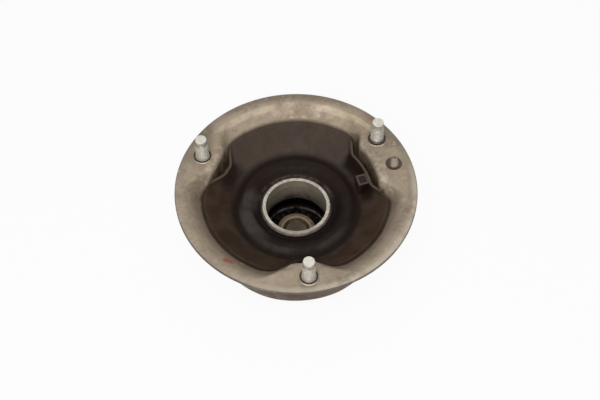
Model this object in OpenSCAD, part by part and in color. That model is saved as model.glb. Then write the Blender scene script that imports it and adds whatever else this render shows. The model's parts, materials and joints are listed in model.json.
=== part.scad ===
// Strut mount: a deep-drawn flanged cup carries a bonded rubber body, and the rubber carries
// a steel sleeve with an angular contact ball bearing in its lower end.
// Millimetres. The origin is the centre of the stud circle on the flange's top face, +Z up.

/* [Flange] */
// Diameter of the circle through the studs
stud_circle_d = 133; // [126:0.5:140]
// Distance from a stud's axis to the flange edge
stud_edge = 11.5; // [9.5:0.5:14]
// Thickness of the pressed sheet
sheet = 2.5; // [2:0.1:3]
// Width of the flat rim outside the slope
rim_w = 6; // [4:0.5:8]
// Chamfer on the cut edge of the flange
rim_chamfer = 0.5; // [0.2:0.1:0.8]

/* [Cup] */
// Width of the slope from the rim to the throat, where it turns into the cup wall
slope_w = 11.2; // [8:0.2:14]
// Depth of the throat below the flange face
throat_depth = 8.5; // [6:0.5:11]
// How far the cup wall leans in from the throat to the floor
wall_lean = 6.8; // [4:0.2:9]
// Depth of the cup from the flange face to the underside of its floor
cup_depth = 50.5; // [47:0.5:54]
// Diameter of the hole in the cup floor
floor_hole_d = 66; // [62:1:72]
// Inside radius of the bends from the rim to the cup wall
bend_r = 0.5; // [0.5:0.1:2]
// Inside radius of the bend round the cup floor
floor_bend_r = 3; // [2:0.5:5]

/* [Stud pads] */
// Gap between a stud's head and the rolled edge inside its pad
head_gap = 1; // [0.3:0.1:2]
// Radius of a pad's wall, seen from above
pad_round_r = 50; // [40:1:60]
// Angle from a stud back to the middle of its pad and of its notch
pad_turn = 1.75; // [0:0.25:3]
// Gap between the first stud's head and the rolled edge inside the wide pad
wide_head_gap = 0.3; // [0.2:0.1:1]
// Radius of the wide pad's wall, seen from above
wide_pad_round_r = 200; // [150:10:260]
// Angle from the first stud back to the middle of the wide pad
wide_pad_turn = 14.25; // [12:0.25:16]
// Inside radius of the rolled edge round the top of a pad
pad_bend_r = 1; // [0.5:0.1:2]
// How far the pad walls run down the cup
pad_depth = 40; // [34:1:42]

/* [Studs] */
// Number of studs
stud_count = 3; // [3:1:4]
// Angle of the first stud from +X
stud_angle = 36.75; // [30:0.25:45]
// Thread diameter
stud_d = 8; // [6:1:10]
// Height of a stud above the flange face
stud_h = 17.2; // [14:0.2:24]
// Step from the thread down to the plain dog point
dog_step = 0.4; // [0.3:0.05:1.2]
// Length of the dog point with its chamfer
dog_h = 2.8; // [2:0.2:6]
// Chamfer at the tip of the dog point
tip_chamfer = 0.3; // [0.2:0.1:1.2]
// Step from the thread out to the collar pressed into the sheet
collar_step = 0.3; // [0.2:0.05:0.6]
// Overhang of the press-in head below the sheet
stud_head_w = 2; // [1.4:0.1:3]
// Thickness of the press-in head
stud_head_h = 2.6; // [2:0.2:4]
// Width of the swaged ring pressed into the sheet round a stud
swage_w = 1.9; // [1.2:0.1:2.4]
// Depth of the swaged ring
swage_depth = 0.8; // [0.4:0.1:1.2]

/* [Locating pin] */
// Angle from the first stud back to the locating pin
pin_offset = 19.75; // [18:0.25:24]
// Diameter of the pin's foot
pin_foot_d = 7; // [6.8:0.2:9]
// Height of the foot above the flange face
pin_foot_h = 0.9; // [0.5:0.1:1.5]
// Diameter of the pin where its cone meets the round nose
pin_d = 4; // [3.6:0.2:5.6]
// Height of the pin above the flange face
pin_h = 6.6; // [5:0.2:9]
// Depth of the foot's seat in the sheet
pin_seat_depth = 0.4; // [0.2:0.1:0.8]
// Open gap round the foot in its seat
pin_seat_gap = 1.8; // [0.5:0.1:2]
// Diameter of the spigot riveted through the sheet
pin_spigot_d = 6; // [4:0.5:7]
// Thickness of the rivet head below the sheet
pin_rivet_h = 1.2; // [0.8:0.2:2]

/* [Rubber] */
// Thickness of the free lip
lip_t = 2; // [1.5:0.1:2.6]
// Open gap between the lip and the sheet
lip_gap = 0.7; // [0.4:0.1:1.2]
// Depth of that gap
lip_gap_depth = 1.8; // [1:0.2:3]
// Step from the lip down to the dish
lip_step = 1.4; // [0.8:0.2:2.4]
// How far the lip's inner face leans towards the axis
lip_lean = 0.5; // [0.2:0.1:1]
// Radius of the lip's notch round a stud, on its pocket side
notch_round_r = 19; // [17:0.2:22]
// Least width of the pocket between a pad and the lip
pocket_w = 5.6; // [4.6:0.1:6.4]
// Radius of the wide notch round the first stud and the pin, on its pocket side
wide_notch_round_r = 60; // [50:1:70]
// Least width of the pocket between the wide pad and the lip
wide_pocket_w = 4.3; // [3.6:0.1:5]
// Angle from the first stud back to the middle of the wide notch
wide_notch_turn = 10.25; // [8:0.25:12]
// Depth of the pockets below the lip
pocket_depth = 11.5; // [8:0.5:14]
// Outer diameter of the round groove in the dish
groove_d = 83.2; // [80:0.4:88]
// Depth of the groove's outer edge below the flange face
groove_edge_depth = 20.2; // [18:0.2:22]
// Width of the groove's floor
groove_floor_w = 1.6; // [1.2:0.1:2.4]
// Width of each sloping side of the groove
groove_side_w = 1.5; // [1:0.1:2]
// Depth of the groove below its outer edge
groove_h = 3.6; // [2:0.2:5]
// Depth of the crest of the rubber ring below the flange face
crest_depth = 17.8; // [16.6:0.2:19]
// Width of the crest of the rubber ring
crest_w = 7; // [5:0.5:8]
// Width of the dip beside the sleeve
dip_w = 2.4; // [1.6:0.2:3.6]
// Depth of the dip below the sleeve rim
dip_depth = 2.6; // [1.6:0.2:4]
// How far the rubber hangs below the cup floor
rubber_drop = 2.4; // [1:0.2:4]
// Radius on the edges of the moulding
mould_r = 1.2; // [0.8:0.1:1.6]

/* [Moulded tab] */
// Length of the tab from the lip towards the axis
tab_len = 6.2; // [4:0.2:7]
// Width of the tab
tab_w = 8; // [6:0.5:10]
// Drop of the tab's face below the lip
tab_drop = 0.6; // [0.3:0.1:1.5]
// Width of the border round the tab's sunk panel
tab_border = 1.3; // [0.8:0.1:1.8]
// Depth of the sunk panel
tab_panel_depth = 0.4; // [0.2:0.1:0.8]

/* [Sleeve] */
// Bore of the sleeve
sleeve_bore_d = 39.8; // [38:0.2:41]
// Wall of the sleeve
sleeve_wall = 3.5; // [2.8:0.1:4]
// Depth of the sleeve rim below the flange face
sleeve_depth = 20; // [18.5:0.5:21]
// Length of the straight neck of the sleeve
neck_len = 20; // [17:0.5:22]
// Chamfer round the outside of the rim
sleeve_chamfer = 1.4; // [0.8:0.1:1.8]
// Drop of the flare below the neck for each millimetre that it widens
flare_slope = 1.3; // [1:0.1:1.5]
// Depth of the bearing seat below the sleeve rim
seat_drop = 31.4; // [30:0.2:33]
// Width of the seat's shoulder
seat_ledge = 2.2; // [1.6:0.1:2.6]
// Wall round the bearing
housing_wall = 3; // [2.4:0.1:3.4]
// Thickness of the crimped lower edge
crimp_t = 1.2; // [0.8:0.1:1.6]
// Reach of the crimp over the outer ring
crimp_w = 1.8; // [1.2:0.1:2]

/* [Bearing] */
// Wall of the outer ring outside the ball track
ring_wall = 4.1; // [3.5:0.1:5]
// Bore for the strut rod
rod_bore_d = 14.1; // [12.1:0.5:15.1]
// Chamfer at both ends of the bore
bore_chamfer = 2; // [0.5:0.1:2.2]
// How far the hub's wall stays inside the ball track
hub_inset = 0.5; // [0.4:0.1:2]
// Rise of the hub above the outer ring
hub_rise = 3.4; // [2:0.2:5]
// Chamfer round the top of the hub
hub_chamfer = 0.5; // [0.3:0.1:0.8]
// How far the inner ring sits inside the crimped edge
foot_inset = 0.4; // [0.2:0.1:0.8]
// Number of balls
ball_count = 12; // [10:1:12]
// Ball diameter
ball_d = 7.14; // [6.8:0.02:7.3]
// Gap between neighbouring balls, where the cage's fingers rise
ball_space = 1.76; // [1.4:0.02:3]
// Running gap between a ball and its tracks
track_gap = 0.15; // [0.1:0.05:0.3]
// Running gap between a ball and its pocket in the cage
pocket_gap = 0.15; // [0.1:0.05:0.25]
// Thickness of the cage ring below the balls
cage_floor = 1.3; // [1:0.1:1.6]
// Gap between the cage and the lower seal
cage_lift = 1.2; // [0.6:0.1:2]
// Width of the ledge that the lower seal is pressed into
seal_ledge = 1; // [0.7:0.1:1.3]
// Thickness of the lower seal
seal_t = 1.2; // [0.8:0.1:1.4]
// Running gap of the seal, the cage and the hub
run_gap = 0.35; // [0.25:0.05:0.5]

/* [Hidden] */
fixed_nodes = [
    "flanged_cup", "rubber_body", "inner_sleeve", "studs", "locating_pin",
    "bearing_outer_ring", "bearing_inner_ring", "ball_cage", "lower_seal"
];
$fn = 96;
// Straight pieces in a quarter of a rounded profile corner
arc_steps = 4;
// Overlap of a cutting shape past the face that it opens
over = 1;

// Shares of the ball's radius: the reach of the outer ring's upper lip and of the inner ring's
// lower lip from the pitch circle, the shoulder below the hub, and the cage's fingers, inner slope
// and pocket mouths
upper_lip_share = 0.87;
lower_lip_share = 0.45;
shoulder_share = 0.25;
finger_share = 0.6;
slope_share = 0.72;
mouth_share = 0.9;

plate_colour = "#a09484";
rubber_colour = "#3a322d";
sleeve_colour = "#a8a59c";
zinc_colour = "#d6d3c6";
ring_colour = "#b3a891";
ball_colour = "#8c8f92";
cage_colour = "#c9b995";
seal_colour = "#2a2725";

stud_circle_r = stud_circle_d / 2;
flange_r = stud_circle_r + stud_edge;
rim_in_r = flange_r - rim_w;
throat_r = rim_in_r - slope_w;
base_r = throat_r - wall_lean;
floor_top = sheet - cup_depth;
lip_z = -throat_depth;

pin_angle = stud_angle - pin_offset;
stud_angles = [for (i = [0:stud_count - 1]) stud_angle + i * 360 / stud_count];
plain_studs = [for (i = [1:stud_count - 1]) stud_angles[i]];
pad_edge_r = pad_bend_r + sheet;
collar_r = stud_d / 2 + collar_step;
stud_head_r = stud_d / 2 + stud_head_w;
// Distance from the axis to the middle of a pad's round wall, clear of the stud's head below it
function pad_middle(turn, round_r, gap) =
    let (head_reach = round_r - pad_edge_r - gap - stud_head_r)
    stud_circle_r * cos(turn) + sqrt(pow(head_reach, 2) - pow(stud_circle_r * sin(turn), 2));
pad_centre = pad_middle(pad_turn, pad_round_r, head_gap);
wide_pad_centre = pad_middle(wide_pad_turn, wide_pad_round_r, wide_head_gap);
// Each pad and notch as the angle, distance from the axis and radius of its upright round
pads = concat(
    [[stud_angle - wide_pad_turn, wide_pad_centre, wide_pad_round_r]],
    [for (a = plain_studs) [a - pad_turn, pad_centre, pad_round_r]]
);
notch_centre = pad_centre - pad_round_r - pocket_w + notch_round_r;
wide_notch_centre = wide_pad_centre - wide_pad_round_r - wide_pocket_w + wide_notch_round_r;
// Where the tab leaves the inner side of the lip
tab_root_r = wide_notch_centre - wide_notch_round_r - lip_t;
notches = concat(
    [[stud_angle - wide_notch_turn, wide_notch_centre, wide_notch_round_r]],
    [for (a = plain_studs) [a - pad_turn, notch_centre, notch_round_r]]
);

sleeve_r = sleeve_bore_d / 2 + sleeve_wall;
sleeve_top = -sleeve_depth;
neck_end = sleeve_top - neck_len;
seat_z = sleeve_top - seat_drop;

ball_r = ball_d / 2;
pitch_r = (ball_d + ball_space) / 2 / sin(180 / ball_count);
ball_z = seat_z - ball_r;
track_r = ball_r + track_gap;
bearing_r = pitch_r + track_r + ring_wall;
housing_r = bearing_r + housing_wall;
hub_r = pitch_r - track_r - hub_inset;
hub_top = seat_z + hub_rise;
cage_foot = ball_z - ball_r - pocket_gap - cage_floor;
bearing_foot = cage_foot - cage_lift - seal_t;
housing_end = bearing_foot - crimp_t;
ring_foot = housing_end + foot_inset;
// The outer ring holds the balls from above, the inner ring from below
upper_lip_r = pitch_r + upper_lip_share * ball_r;
open_side_r = pitch_r + track_r + run_gap;
lower_lip_r = pitch_r - lower_lip_share * ball_r;
shoulder = shoulder_share * ball_r;
cage_r = upper_lip_r - 2 * run_gap;
cage_top = ball_z + finger_share * ball_r;
seal_seat_r = open_side_r + seal_ledge;

function unit(v) = v / norm(v);
function left_of(a, b) = let (d = unit(b - a)) [-d.y, d.x];

// The path moved sideways to its left by t, with mitred corners
function parallel(path, t) = [
    for (i = [0:len(path) - 1])
        let (
            before = left_of(path[max(i - 1, 0)], path[max(i, 1)]),
            after = left_of(path[min(i, len(path) - 2)], path[min(i + 1, len(path) - 1)])
        )
        path[i] + t * (before + after) / (1 + before * after)
];

// The arc of radius r that rounds the corner p between a and b
function corner_arc(a, p, b, r) =
    let (
        u = unit(a - p),
        v = unit(b - p),
        half = acos(u * v) / 2,
        centre = p + unit(u + v) * r / sin(half),
        from = p + u * r / tan(half) - centre,
        to = p + v * r / tan(half) - centre,
        start = atan2(from.y, from.x),
        turn = (atan2(to.y, to.x) - start + 540) % 360 - 180,
        steps = max(2, ceil(abs(turn) / 90 * arc_steps))
    )
    [for (i = [0:steps]) centre + r * [cos(start + turn * i / steps), sin(start + turn * i / steps)]];

// The path with each corner rounded by its own radius, where 0 keeps a corner sharp
function rounded(path, radii) = [
    for (i = [0:len(path) - 1])
        each (radii[i] == 0 ? [path[i]] : corner_arc(path[i - 1], path[i], path[i + 1], radii[i]))
];

// Upper surface of the pressing, from the flange edge to the floor hole
skin = rounded(
    [
        [flange_r, 0],
        [rim_in_r, 0],
        [throat_r, lip_z],
        [base_r, floor_top],
        [floor_hole_d / 2, floor_top]
    ],
    [0, bend_r + sheet, bend_r + sheet, floor_bend_r, 0]
);
underside = parallel(skin, sheet);
// Radius of the cup's inner wall at a height between the throat and the floor
function wall_r(z) = throat_r - wall_lean * (z - lip_z) / (floor_top - lip_z);

// Outside of the sleeve, from its rim to the crimped edge
flare_end = neck_end - (housing_r - sleeve_r) * flare_slope;
sleeve_outside = [
    [sleeve_r, sleeve_top - sleeve_chamfer],
    [sleeve_r, neck_end],
    [housing_r, flare_end],
    [housing_r, housing_end]
];

// Upper surface of the rubber, from the lip to the sleeve
lip_r = throat_r - lip_gap - lip_t;
groove_r = groove_d / 2;
crest_outer_r = groove_r - groove_floor_w - 2 * groove_side_w;
dip_r = sleeve_r + dip_w;
dip_z = sleeve_top - dip_depth;
groove_floor = -groove_edge_depth - groove_h;
dish = rounded(
    [
        [lip_r, lip_z + over],
        [lip_r, lip_z],
        [lip_r - lip_lean, lip_z - lip_step],
        [groove_r, -groove_edge_depth],
        [groove_r - groove_side_w, groove_floor],
        [crest_outer_r + groove_side_w, groove_floor],
        [crest_outer_r, -crest_depth],
        [crest_outer_r - crest_w, -crest_depth],
        [dip_r, dip_z],
        [sleeve_r, dip_z]
    ],
    [0, 0, mould_r, mould_r, mould_r / 2, mould_r / 2, mould_r, mould_r, mould_r, 0]
);

module at_studs() {
    for (a = stud_angles)
        rotate([0, 0, a])
            translate([stud_circle_r, 0, 0])
                children();
}

module at_pin() {
    rotate([0, 0, pin_angle])
        translate([stud_circle_r, 0, 0])
            children();
}

// The pads as solids with their flat top at a height, a neck of height rise above it and walls
// moved in by inset
module pad_forms(inset, edge_r, top, rise) {
    for (pad = pads) {
        r = pad[2] - inset;
        edge = corner_arc([0, top], [r, top], [r, top - r], edge_r);
        neck = rise > 0 ? [[0, top + rise], [r - edge_r, top + rise]] : [[0, top]];
        rotate([0, 0, pad[0]])
            translate([pad[1], 0, 0])
                rotate_extrude()
                    polygon(concat(neck, edge, [[r, -pad_depth], [0, -pad_depth]]));
    }
}

// The notches of the lip as upright solids, with their walls moved out by outset
module notch_forms(outset, bottom, top) {
    for (notch = notches)
        rotate([0, 0, notch[0]])
            translate([notch[1], 0, bottom])
                cylinder(r = notch[2] + outset, h = top - bottom);
}

module flanged_cup() {
    rim_start = skin[1];
    color(plate_colour)
        difference() {
            rotate_extrude()
                polygon(concat(
                    [[0, 0], [flange_r - rim_chamfer, 0], [flange_r, -rim_chamfer]],
                    [[flange_r, rim_chamfer - sheet], [flange_r - rim_chamfer, -sheet]],
                    [for (i = [1:len(underside) - 1]) underside[i]],
                    [[0, -cup_depth]]
                ));
            difference() {
                rotate_extrude()
                    polygon(concat(
                        [[0, over], [rim_start.x, over]],
                        [for (i = [1:len(skin) - 1]) skin[i]],
                        [[0, floor_top]]
                    ));
                pad_forms(0, pad_edge_r, 0, 2 * over);
            }
            // The pads are hollow below, where the stud heads sit
            intersection() {
                pad_forms(sheet, pad_edge_r - sheet, -sheet, 0);
                translate([0, 0, -cup_depth])
                    cylinder(r = flange_r - rim_w / 2, h = cup_depth);
            }
            translate([0, 0, -cup_depth - over])
                cylinder(d = floor_hole_d, h = sheet + 2 * over);
            at_studs() {
                translate([0, 0, -swage_depth])
                    cylinder(d = stud_d + 2 * swage_w, h = swage_depth + over);
                translate([0, 0, -sheet - over])
                    cylinder(r = collar_r, h = sheet + 2 * over);
            }
            at_pin() {
                translate([0, 0, -pin_seat_depth])
                    cylinder(d = pin_foot_d + 2 * pin_seat_gap, h = pin_seat_depth + over);
                translate([0, 0, -sheet - over])
                    cylinder(d = pin_spigot_d, h = sheet + 2 * over);
            }
        }
}

module rubber_body() {
    wall_start = lip_z - lip_gap_depth;
    hang = -cup_depth - rubber_drop;
    in_cup = [for (p = skin) if (p.y < wall_start) p];
    color(rubber_colour)
        difference() {
            rotate_extrude()
                polygon(concat(
                    [[sleeve_r, lip_z], [throat_r - lip_gap, lip_z]],
                    [[wall_r(wall_start) - lip_gap, wall_start], [wall_r(wall_start), wall_start]],
                    in_cup,
                    [[floor_hole_d / 2, -cup_depth], [housing_r, hang]],
                    [[housing_r, flare_end], [sleeve_r, neck_end]]
                ));
            difference() {
                rotate_extrude()
                    polygon(concat(dish, [[sleeve_r - over, dip_z], [sleeve_r - over, lip_z + over]]));
                notch_forms(lip_t, groove_floor, lip_z + 2 * over);
                moulded_tab();
            }
            notch_forms(0, lip_z - pocket_depth, lip_z + over);
            pad_forms(0, pad_edge_r, 0, over);
            tab_panel();
        }
}

// A plain raised tab on the inner side of the lip, in line with the locating pin
module moulded_tab() {
    rotate([0, 0, pin_angle])
        translate([tab_root_r - tab_len, -tab_w / 2, groove_floor])
            cube([tab_len + lip_t, tab_w, lip_z - tab_drop - groove_floor]);
}

module tab_panel() {
    panel_z = lip_z - tab_drop - tab_panel_depth;
    rotate([0, 0, pin_angle])
        translate([tab_root_r - tab_len + tab_border, tab_border - tab_w / 2, panel_z])
            cube([tab_len - 2 * tab_border, tab_w - 2 * tab_border, tab_panel_depth + over]);
}

module inner_sleeve() {
    bore_r = sleeve_bore_d / 2;
    relief_r = bearing_r - seat_ledge;
    color(sleeve_colour)
        rotate_extrude()
            polygon(concat(
                [[bore_r, sleeve_top], [sleeve_r - sleeve_chamfer, sleeve_top]],
                sleeve_outside,
                [[bearing_r - crimp_w, housing_end], [bearing_r - crimp_w, bearing_foot]],
                [[bearing_r, bearing_foot], [bearing_r, seat_z], [relief_r, seat_z]],
                [[relief_r, neck_end - (relief_r - bore_r)], [bore_r, neck_end]]
            ));
}

module studs() {
    r = stud_d / 2;
    dog_r = r - dog_step;
    dog_start = stud_h - dog_h;
    head_foot = -sheet - stud_head_h;
    color(zinc_colour)
        at_studs()
            rotate_extrude()
                polygon([
                    [0, head_foot],
                    [stud_head_r, head_foot],
                    [stud_head_r, -sheet],
                    [collar_r, -sheet],
                    [collar_r, 0],
                    [r, 0],
                    [r, dog_start - dog_step],
                    [dog_r, dog_start],
                    [dog_r, stud_h - tip_chamfer],
                    [dog_r - tip_chamfer, stud_h],
                    [0, stud_h]
                ]);
}

module locating_pin() {
    foot_r = pin_foot_d / 2;
    nose_r = pin_d / 2;
    rivet_r = pin_spigot_d / 2 + pin_rivet_h;
    rivet_foot = -sheet - pin_rivet_h;
    nose = [for (i = [0:arc_steps]) nose_r * [cos(90 * i / arc_steps), sin(90 * i / arc_steps)]];
    color(plate_colour)
        at_pin()
            rotate_extrude()
                polygon(concat(
                    [[0, rivet_foot], [rivet_r, rivet_foot], [rivet_r, -sheet]],
                    [[pin_spigot_d / 2, -sheet], [pin_spigot_d / 2, -pin_seat_depth]],
                    [[foot_r, -pin_seat_depth], [foot_r, pin_foot_h]],
                    [for (p = nose) p + [0, pin_h - nose_r]]
                ));
}

// The ring-shaped room that the balls run in, shared by both rings
module ball_track() {
    rotate_extrude()
        translate([pitch_r, ball_z])
            circle(r = track_r);
}

module bearing_outer_ring() {
    color(ring_colour)
        difference() {
            rotate_extrude()
                polygon([
                    [upper_lip_r, seat_z],
                    [bearing_r, seat_z],
                    [bearing_r, bearing_foot],
                    [seal_seat_r, bearing_foot],
                    [seal_seat_r, bearing_foot + seal_t],
                    [open_side_r, bearing_foot + seal_t],
                    [open_side_r, ball_z],
                    [upper_lip_r, ball_z]
                ]);
            ball_track();
        }
}

module bearing_inner_ring() {
    bore_r = rod_bore_d / 2;
    lip_start = ball_z - shoulder;
    color(ring_colour)
        difference() {
            rotate_extrude()
                polygon([
                    [bore_r, ring_foot + bore_chamfer],
                    [bore_r, hub_top - bore_chamfer],
                    [bore_r + bore_chamfer, hub_top],
                    [hub_r - hub_chamfer, hub_top],
                    [hub_r, hub_top - hub_chamfer],
                    [hub_r, lip_start],
                    [lower_lip_r, lip_start],
                    [lower_lip_r, ring_foot],
                    [bore_r + bore_chamfer, ring_foot]
                ]);
            ball_track();
        }
}

module at_ball(i) {
    rotate([0, 0, (i - 1) * 360 / ball_count])
        translate([pitch_r, 0, ball_z])
            children();
}

// A crown cage: a ring below the balls with fingers that rise between them
module ball_cage() {
    finger_r = hub_r + run_gap;
    ring_r = lower_lip_r + run_gap;
    color(cage_colour)
        difference() {
            rotate_extrude()
                polygon([
                    [ring_r, cage_foot],
                    [cage_r, cage_foot],
                    [cage_r, cage_top],
                    [finger_r, cage_top],
                    [finger_r, ball_z + shoulder],
                    [ring_r, ball_z - slope_share * ball_r]
                ]);
            for (i = [1:ball_count])
                at_ball(i) {
                    sphere(r = ball_r + pocket_gap);
                    cylinder(r = mouth_share * ball_r, h = ball_d);
                }
        }
}

module ball(i) {
    color(ball_colour)
        at_ball(i)
            sphere(r = ball_r);
}

module lower_seal() {
    wiper_r = lower_lip_r + run_gap;
    color(seal_colour)
        translate([0, 0, bearing_foot])
            rotate_extrude()
                translate([wiper_r, 0])
                    square([seal_seat_r - wiper_r, seal_t]);
}

flanged_cup();
rubber_body();
inner_sleeve();
studs();
locating_pin();
bearing_outer_ring();
bearing_inner_ring();
ball_cage();
lower_seal();
for (i = [1:ball_count])
    ball(i);
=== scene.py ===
"""Strut mount: smooth pressed cup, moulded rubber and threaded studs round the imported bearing."""
import json
import math

import bmesh
import bpy
import numpy as np
from mathutils import Matrix, Vector


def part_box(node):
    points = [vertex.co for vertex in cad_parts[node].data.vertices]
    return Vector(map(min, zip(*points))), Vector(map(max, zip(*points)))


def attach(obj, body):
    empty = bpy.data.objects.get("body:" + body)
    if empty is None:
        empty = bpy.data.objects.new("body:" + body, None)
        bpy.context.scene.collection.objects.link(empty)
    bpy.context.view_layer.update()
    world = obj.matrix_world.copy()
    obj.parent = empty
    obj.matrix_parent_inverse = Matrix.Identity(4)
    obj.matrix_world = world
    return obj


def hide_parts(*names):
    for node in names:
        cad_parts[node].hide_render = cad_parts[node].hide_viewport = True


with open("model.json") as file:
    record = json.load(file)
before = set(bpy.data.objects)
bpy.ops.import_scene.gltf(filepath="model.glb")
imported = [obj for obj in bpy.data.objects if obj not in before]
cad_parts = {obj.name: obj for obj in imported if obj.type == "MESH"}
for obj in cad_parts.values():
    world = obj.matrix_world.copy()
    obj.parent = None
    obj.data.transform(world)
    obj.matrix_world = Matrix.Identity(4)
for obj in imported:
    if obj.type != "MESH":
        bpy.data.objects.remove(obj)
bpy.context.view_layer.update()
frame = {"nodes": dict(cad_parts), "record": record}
nodes = frame["nodes"]
MM = 0.001

# Sizes in millimetres and angles in degrees, the first ones from the frame
mounts = {m["name"]: m for m in frame["record"]["mounts"]}
stud_dims = mounts["stud_circle"]["dims"]
cup_low, cup_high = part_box("flanged_cup")
stud_low, stud_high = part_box("studs")
sleeve_low, sleeve_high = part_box("inner_sleeve")
flange_r = min(cup_high.x, -cup_low.x) / MM
cup_foot = cup_low.z / MM
stud_circle_r = stud_dims["pcd_mm"] / 2
stud_r = stud_dims["stud_r_mm"]
stud_top = stud_high.z / MM
stud_foot = stud_low.z / MM
sleeve_top = sleeve_high.z / MM
housing_r = sleeve_high.x / MM
floor_z = sleeve_low.z / MM
hub_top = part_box("bearing_inner_ring")[1].z / MM

# Pressed cup
first_stud = 36.75
stud_angles = [first_stud + 120 * i for i in range(3)]
pin_angle = 17.0
sheet = 2.5
rim_w = 6.0
rim_chamfer = 0.5
slope_w = 10.4
throat_z = -7.3
wall_lean = 7.6
least_lean = 0.4
hole_r = 33.0
rim_bend, throat_bend, floor_bend = 5.0, 3.5, 3.0
bend_room = 5.5
rim_in_r = flange_r - rim_w
throat_r = rim_in_r - slope_w
base_r = throat_r - wall_lean
floor_top = cup_foot + sheet

# Pads: how far the throat moves in and rises there, how far the flat face reaches in and how far the
# rubber's lip moves in. Each bend is its middle, the half angles of its flat part and of all of it,
# and the most that it moves
pad_turn = 1.75
plain_pads = [a - pad_turn for a in stud_angles[1:]]
throat_moves = [
    (21.5, 16.5, 27.5, 7.9),
    (plain_pads[0] + 2.5, 4.0, 25.5, 6.4),
    (plain_pads[1], 4.0, 28.0, 6.4),
]
throat_rises = [(26.5, 15.5, 30.0, 7.25)] + [(a, 4.0, 19.0, 7.25) for a in plain_pads]
flat_moves = [(26.5, 19.0, 36.0, 10.5)] + [(a, 10.0, 27.0, 10.5) for a in plain_pads]
lip_moves = [(25.7, 13.5, 29.5, 10.6)] + [(a, 2.0, 21.0, 10.8) for a in plain_pads]

# Seats in the sheet: how it sinks under them, and their outlines as distance from the stud's or the
# pin's axis and height
seat_sink, seat_reach, seat_fade, seat_bend = 1.2, 0.55, 0.6, 0.15
collar_r, collar_top_r = 4.3, 4.6
swage_r, swage_depth = 5.9, 0.8
pin_seat_r, pin_seat_depth = 5.3, 0.7
stud_seat = [
    (collar_r - 0.1, -swage_depth), (swage_r - 0.5, -swage_depth), (swage_r - 0.25, -0.6),
    (swage_r - 0.05, -0.12), (swage_r + 0.1, 0.1), (swage_r + 0.45, 0.16), (swage_r + 0.8, 0.05),
    (swage_r + 1.1, -0.2), (swage_r + 1.3, -0.9),
]
pin_seat = [
    (pin_seat_r - 2.0, -pin_seat_depth), (pin_seat_r - 0.4, -pin_seat_depth), (pin_seat_r - 0.1, -0.4),
    (pin_seat_r + 0.1, -0.04), (pin_seat_r + 0.35, 0.05), (pin_seat_r + 0.7, 0.02),
    (pin_seat_r + 1.05, -0.3), (pin_seat_r + 1.2, -0.9),
]

# Moulded rubber
sleeve_r = 23.4
neck_end, flare_end = -40.0, -46.0
lip_z, lip_t = -8.0, 1.7
lip_gap, lip_gap_depth = 0.7, 1.8
lip_drop, lip_undercut, gap_fall = 0.4, 0.25, 0.2
lip_fade = 1.5
lip_fillet = 3.0
dish_roll, dish_steepness = 0.6, 3.0
pocket_roll, pocket_steepness = 0.5, 7.0
pocket_z = -20.0
pocket_bite, wall_bite, bond = 0.6, 0.4, 0.1
wall_levels = (-26.0, -33.0, -40.0, floor_top + 1.5)
groove_r, groove_z = 40.2, -21.2
ring_out_r, ring_in_r, ring_z = 36.0, 30.0, -17.8
hollow_r, hollow_z = 25.8, -22.2
dish_end, dish_step = 46.9, 0.42
rubber_hang = cup_foot - 2.4
lip_r = throat_r - lip_gap
dish_outline = [
    (lip_r, throat_z - 0.1), (lip_r - 1.9, throat_z - 0.55), (groove_r, groove_z),
    (ring_out_r, ring_z), (ring_in_r, ring_z), (hollow_r, hollow_z), (sleeve_r, hollow_z),
]
dish_bends = [0, 0.6, 3.8, 3.8, 4.6, 1.6, 0]
lower_outline = [
    (base_r - 1.5, floor_top - 0.3), (hole_r + 1, floor_top - 0.3), (hole_r - bond, cup_foot),
    (housing_r + 1, rubber_hang), (housing_r - bond, rubber_hang + 0.3), (housing_r - bond, flare_end),
    (sleeve_r - bond, neck_end),
]
tab_in_r, tab_out_r, tab_w = 41.7, 49.0, 8.0
tab_top, tab_foot = -9.1, -21.5
tab_border, tab_panel_depth, tab_edge = 2.5, 0.5, 0.2
tab_middle_r = (tab_in_r + tab_out_r) / 2

# Studs, with their outlines below and above the thread as radius and height
thread_r, thread_pitch, thread_depth = 4.3, 1.25, 0.6
thread_start, run_in, run_out, run_lead = 0.35, 1.2, 0.8, 0.05
crest, flank_w = 0.06, 0.36
dog_r, dog_start, dog_chamfer = 3.65, stud_top - 2.7, 0.25
thread_end = dog_start - 0.75
head_r, head_chamfer = stud_r + 2, 0.5
tip_r = 0.01
dog_bend = 0.15
below_thread = [
    (tip_r, stud_foot), (head_r - head_chamfer, stud_foot), (head_r, stud_foot + head_chamfer),
    (head_r, -sheet), (collar_r, -sheet), (collar_r, -0.6), (collar_top_r, -0.45),
    (collar_top_r, 0.1), (collar_top_r - 0.2, 0.3), (thread_r - 0.3, thread_start - 0.01),
]
above_thread = [
    (thread_r, thread_end - 0.05), (dog_r - 0.25, dog_start - 0.1), (dog_r, dog_start + 0.3),
    (dog_r, stud_top - dog_chamfer), (dog_r - dog_chamfer, stud_top), (tip_r, stud_top),
]

# Marks on the plate: place, size, soft edge, strength and colour
plate_stains = [
    (0, 67, 8, 20, 0.45, (118, 101, 82)),
    (62.0, 42.5, 1, 4.5, 0.35, (122, 118, 84)),
    (70.5, 24.0, 1, 6, 0.3, (134, 130, 100)),
    (47.0, 55.0, 1, 4, 0.4, (138, 100, 84)),
    (-46.0, 52.0, 3, 9, 0.35, (186, 168, 148)),
    (38.0, 60.0, 3, 9, 0.35, (190, 172, 146)),
    (60.0, -40.0, 3, 10, 0.35, (182, 166, 150)),
    (-20.0, -70.0, 3, 10, 0.3, (180, 166, 150)),
    (24.0, -62.0, 1, 5, 0.35, (120, 104, 88)),
]
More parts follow.
